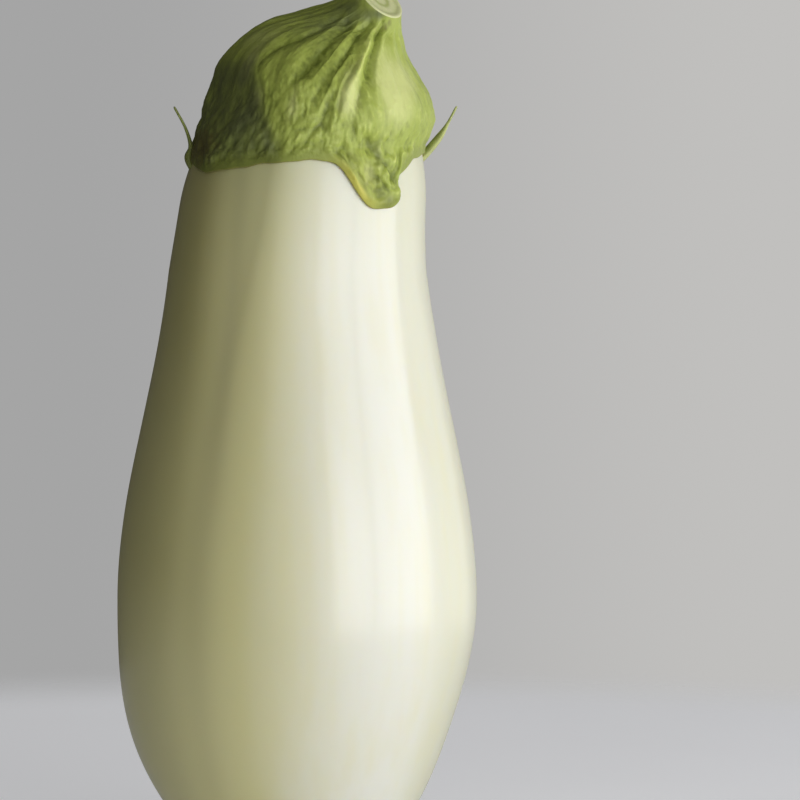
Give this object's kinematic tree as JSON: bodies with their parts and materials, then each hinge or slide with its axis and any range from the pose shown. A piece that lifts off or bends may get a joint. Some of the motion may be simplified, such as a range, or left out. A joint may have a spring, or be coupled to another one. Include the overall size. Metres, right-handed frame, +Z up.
{
  "type": "eggplant",
  "caption": "Long white eggplant with a pleated green calyx and a short cut stalk, standing upright on its blossom end.",
  "frame": {"origin": "middle of the small flat spot on the blossom end, which the eggplant stands on", "axes": "+Z up from the blossom end to the stalk; -Y is the front, the side seen in the picture; +X is to the right of that side"},
  "size_m": [0.075, 0.075, 0.1859],
  "materials": {
    "skin": "waxy glossy white skin with a faint yellow-green cast near the calyx and faint lengthwise streaks; stands in for living plant skin",
    "calyx_green": "fleshy, finely wrinkled satin green sepals with a paler bead along the margin and a pale cut stalk end; stands in for living plant tissue"
  },
  "bodies": {
    "root": {"fruit": "skin", "calyx": "calyx_green"}
  },
  "joints": []
}
